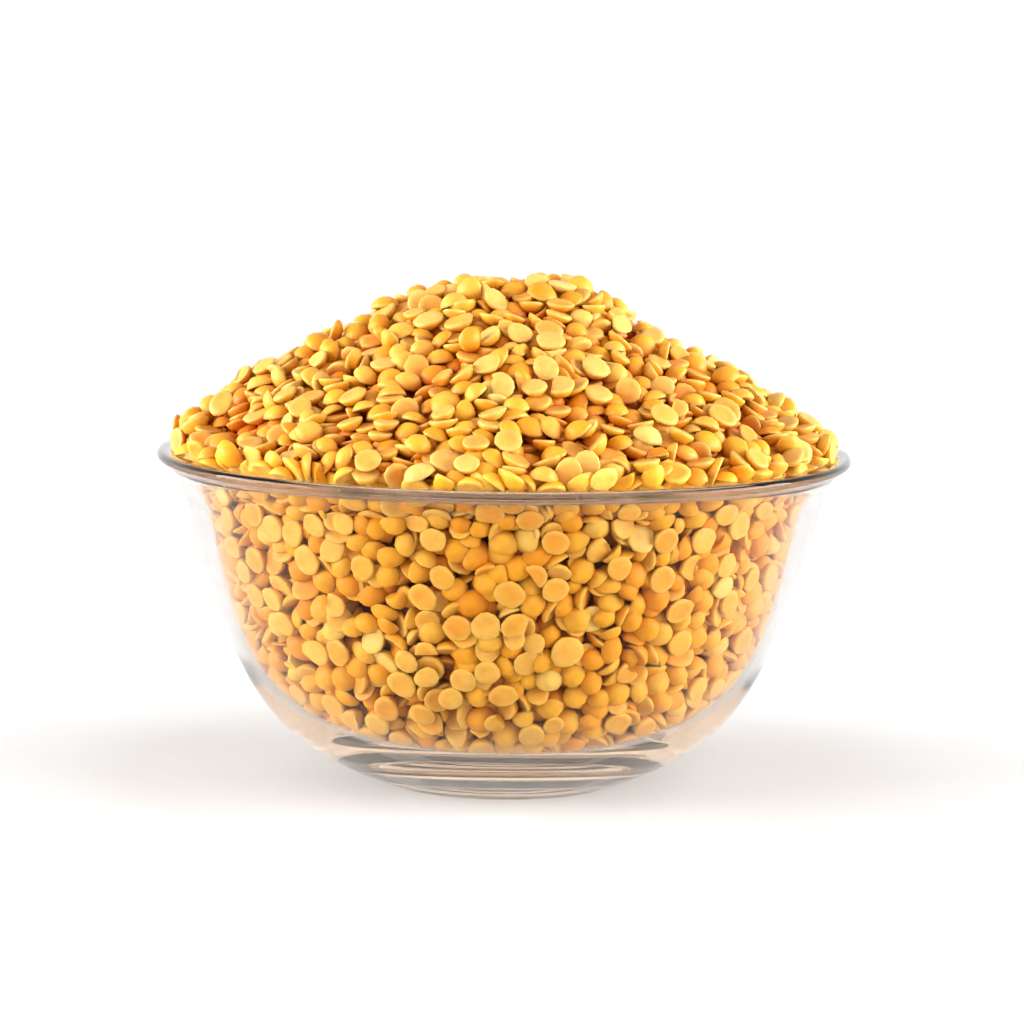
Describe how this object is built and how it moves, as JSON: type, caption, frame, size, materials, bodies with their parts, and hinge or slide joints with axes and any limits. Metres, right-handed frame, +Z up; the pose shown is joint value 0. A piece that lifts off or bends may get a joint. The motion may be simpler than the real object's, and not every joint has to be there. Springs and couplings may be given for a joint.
{
  "type": "glass bowl of dry split pulses",
  "caption": "Clear pressed-glass mixing bowl with a turned-out lip, heaped above its rim with dry golden-yellow split pulses, sold as yellow lentils.",
  "frame": {"origin": "middle of the flat foot ring, on the surface that the bowl stands on", "axes": "+Z is up along the bowl's axis, +X is to the right and +Y away from someone who faces the dish as pictured"},
  "size_m": [0.132, 0.132, 0.0973],
  "materials": {
    "clear_glass": "polished",
    "lentil": "satin"
  },
  "bodies": {
    "root": {"bowl": "clear_glass", "lentil_heap": "lentil"}
  },
  "joints": []
}
